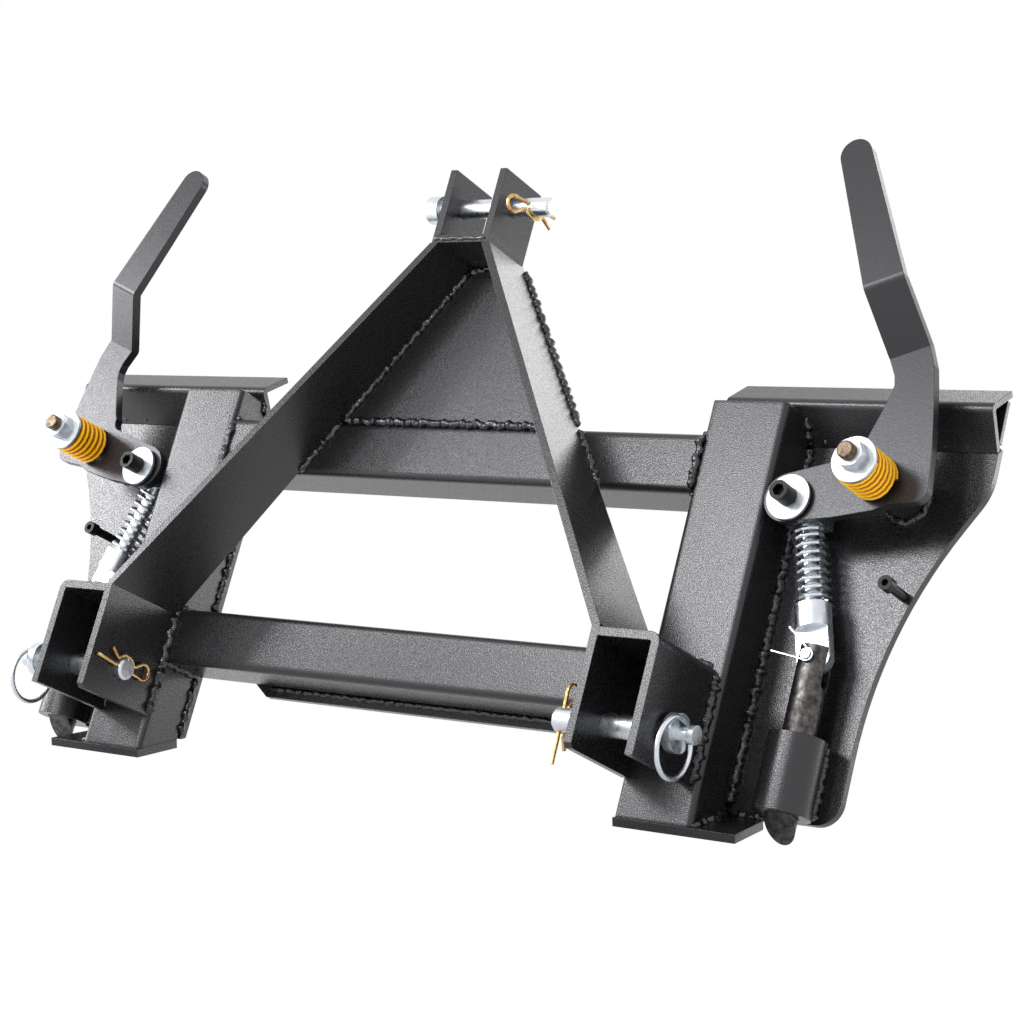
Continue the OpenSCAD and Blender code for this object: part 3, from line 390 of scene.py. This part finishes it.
# cross tubes to uprights
for tube in ("upper", "lower"):
    foot = crossTube[tube]
    head = foot + crossTube["high"]
    low, high = foot + crossTube["short"], head - crossTube["short"]
    halfBeads[f"{tube}_tube_front"] = (plainBead, (tubeEdge, 0, low), (tubeEdge, 0, high))
    for word, z in (("under", foot - crossTube["stand"]), ("over", head + crossTube["stand"])):
        halfBeads[f"{tube}_tube_{word}"] = (plainBead, (tubeEdge, crossTube["front"], z),
                                            (tubeEdge, crossTube["back"], z))
# mast bars and brackets to the uprights
halfBeads.update({
    "bar_upright": (fatBead, (tubeEdge, -1, 38), (tubeEdge, -1, 142)),
    "bracket_wall": (fatBead, (362.5, -1, 38), (362.5, -1, 136)),
    "bracket_wall_in": (thinBead, (352, -1, 40), (352, -1, 132)),
    "bracket_top": (plainBead, (299, -1, 145), (356, -1, 145)),
    "bracket_bar": (plainBead, (299.5, -97, 143), (299.5, -4, 143))})
# mast bars to the upper cross tube and the gusset
for part, low, high in (("tube", 306, 361), ("gusset", 365, 526)):
    inner = [(barInner(z) - 1, -0.5, z) for z in (low, high)]
    outer = [(barInner(z) + barWide + 0.5, 0, z) for z in (low, high)]
    halfBeads[f"bar_{part}_in"] = (plainBead, *inner)
    halfBeads[f"bar_{part}_out"] = (plainBead, *outer)
halfBeads["ear_cap_in"] = (thinBead, (26, -60, 538.5), (26, -3, 538.5))
# guide tubes and lever bosses to the side plates
for word, x in (("in", guide["x"] - guide["half"]), ("out", guide["x"] + guide["half"])):
    halfBeads[f"guide_{word}"] = (fatBead, (x, guide["front"], guide["low"]),
                                  (x, guide["front"], guide["high"]))
turns = [2 * math.pi * i / boss["points"] for i in range(boss["points"])]
halfBeads["boss"] = (bossBead, *((boss["x"] + boss["radius"] * math.cos(t), plateFront - 1,
                                  boss["z"] + boss["radius"] * math.sin(t)) for t in turns))
# side plate to the hooked rail, behind
halfBeads["plate_rail"] = (plainBead, (uprightOut + 6, plateFront, 378.5), (548, plateFront, 378.5))

for side, s in sides:
    for name, (look, *spots) in halfBeads.items():
        weldBead(f"weld_{name}_{side}", [at(s * x, y, z) for x, y, z in spots], look)

middleBeads = {
    "gusset_tube": (plainBead, (-137, 0, 363), (137, 0, 363)),
    "gusset_top": (plainBead, (-27, -0.5, 525), (-10, -1, 529)),
    "cap_front": (capBead, (-33, -62, 534), (30, -62, 534)),
    "strip_over": (thinBead, (-195, 63, 133), (195, 63, 133)),
    "strip_under": (thinBead, (-195, 63, 93), (195, 63, 93))}
for name, (look, *spots) in middleBeads.items():
    weldBead(f"weld_{name}", [at(*spot) for spot in spots], look)
print("weld beads placed,", len(sides) * len(halfBeads) + len(middleBeads))

floorLook = {"color": (0.90, 0.90, 0.90), "roughness": 0.8, "reach": 6}
floorMat, floorTree, floorShader = newMaterial("pale_floor")
floorShader.inputs["Base Color"].default_value = opaque(floorLook["color"])
floorShader.inputs["Roughness"].default_value = floorLook["roughness"]
# the photograph looks up from below the floor, so the floor is clear to the camera from beneath
geometry = floorTree.nodes.new("ShaderNodeNewGeometry")
rays = floorTree.nodes.new("ShaderNodeLightPath")
fromBelow = floorTree.nodes.new("ShaderNodeMath")
fromBelow.operation = "MULTIPLY"
clear = floorTree.nodes.new("ShaderNodeBsdfTransparent")
pick = floorTree.nodes.new("ShaderNodeMixShader")
floorOut = floorTree.nodes["Material Output"]
floorTree.links.new(geometry.outputs["Backfacing"], fromBelow.inputs[0])
floorTree.links.new(rays.outputs["Is Camera Ray"], fromBelow.inputs[1])
floorTree.links.new(fromBelow.outputs[0], pick.inputs["Fac"])
floorTree.links.new(floorShader.outputs[0], pick.inputs[1])
floorTree.links.new(clear.outputs[0], pick.inputs[2])
floorTree.links.new(pick.outputs[0], floorOut.inputs["Surface"])
reach = floorLook["reach"]
floorMesh = bpy.data.meshes.new("floor")
floorMesh.from_pydata([(-reach, -reach, 0), (reach, -reach, 0), (reach, reach, 0), (-reach, reach, 0)],
                      [], [(0, 1, 2, 3)])
floorMesh.materials.append(floorMat)
floor = bpy.data.objects.new("floor", floorMesh)
bpy.context.scene.collection.objects.link(floor)

# white to the camera and in reflections, and a little less as light on the object
studio = {"color": (1, 1, 1), "fill": 0.8, "seen": 1.0}
world = bpy.data.worlds.new("studio")
bpy.context.scene.world = world
world.use_nodes = True
worldTree = world.node_tree
background = worldTree.nodes["Background"]
path = worldTree.nodes.new("ShaderNodeLightPath")
cameraOrGloss = worldTree.nodes.new("ShaderNodeMath")
cameraOrGloss.operation = "MAXIMUM"
anySeen = worldTree.nodes.new("ShaderNodeMath")
anySeen.operation = "MAXIMUM"
strength = worldTree.nodes.new("ShaderNodeMapRange")
strength.inputs["To Min"].default_value = studio["fill"]
strength.inputs["To Max"].default_value = studio["seen"]
worldTree.links.new(path.outputs["Is Camera Ray"], cameraOrGloss.inputs[0])
worldTree.links.new(path.outputs["Is Glossy Ray"], cameraOrGloss.inputs[1])
worldTree.links.new(cameraOrGloss.outputs[0], anySeen.inputs[0])
worldTree.links.new(path.outputs["Is Transmission Ray"], anySeen.inputs[1])
worldTree.links.new(anySeen.outputs[0], strength.inputs["Value"])
worldTree.links.new(strength.outputs["Result"], background.inputs["Strength"])
background.inputs["Color"].default_value = opaque(studio["color"])

# the upright fronts and the lever plates mirror the front and left boxes in the photograph
lamps = {
    "front_box": {"place": (-0.80, -2.18, 0.82), "target": (0.2, 0, 0.25),
                  "width": 0.90, "height": 0.50, "watts": 27},
    "left_box": {"place": (-2.32, -1.44, 0.86), "target": (-0.2, 0, 0.25),
                 "width": 0.80, "height": 0.54, "watts": 28},
    "low_left_box": {"place": (-2.15, -0.40, 0.22), "target": (-0.4, 0, 0.4),
                     "width": 0.5, "height": 0.4, "watts": 6},
    "corner_strip": {"place": (0.20, -2.45, 0.80), "target": (0.2, 0, 0.25),
                     "width": 0.35, "height": 0.60, "watts": 12},
    "top_box": {"place": (0.0, 1.5, 1.8), "target": (0, 0, 0.4),
                "width": 1.1, "height": 0.7, "watts": 7},
    "back_box": {"place": (1.5, 1.9, 0.95), "target": (0.3, 0, 0.2),
                 "width": 1.4, "height": 0.6, "watts": 9}}
for name, box in lamps.items():
    light = bpy.data.lights.new(name, "AREA")
    light.shape = "RECTANGLE"
    light.size = box["width"]
    light.size_y = box["height"]
    light.energy = box["watts"]
    lamp = bpy.data.objects.new(name, light)
    bpy.context.scene.collection.objects.link(lamp)
    lamp.location = box["place"]
    aim = Vector(box["target"]) - Vector(box["place"])
    lamp.rotation_euler = aim.to_track_quat("-Z", "Y").to_euler()

# the camera that fits the photograph: where it stands, and its three directions in the frame
photo = {"lens": 88.122, "sensor": 36, "place": (1.505772, -1.800026, -0.324504),
         "right": (0.804267, 0.543039, 0.241379), "down": (0.045507, 0.348708, -0.936126),
         "ahead": (-0.592524, 0.763879, 0.255742)}
cameraData = bpy.data.cameras.new("camera")
cameraData.lens = photo["lens"]
cameraData.sensor_width = photo["sensor"]
camera = bpy.data.objects.new("camera", cameraData)
bpy.context.scene.collection.objects.link(camera)
axes = (Vector(photo["right"]), -Vector(photo["down"]), -Vector(photo["ahead"]))
camera.matrix_world = Matrix.Translation(photo["place"]) @ Matrix(axes).transposed().to_4x4()
bpy.context.scene.camera = camera

bpy.context.scene.view_settings.view_transform = "Standard"
print("floor, lamps and camera ready")
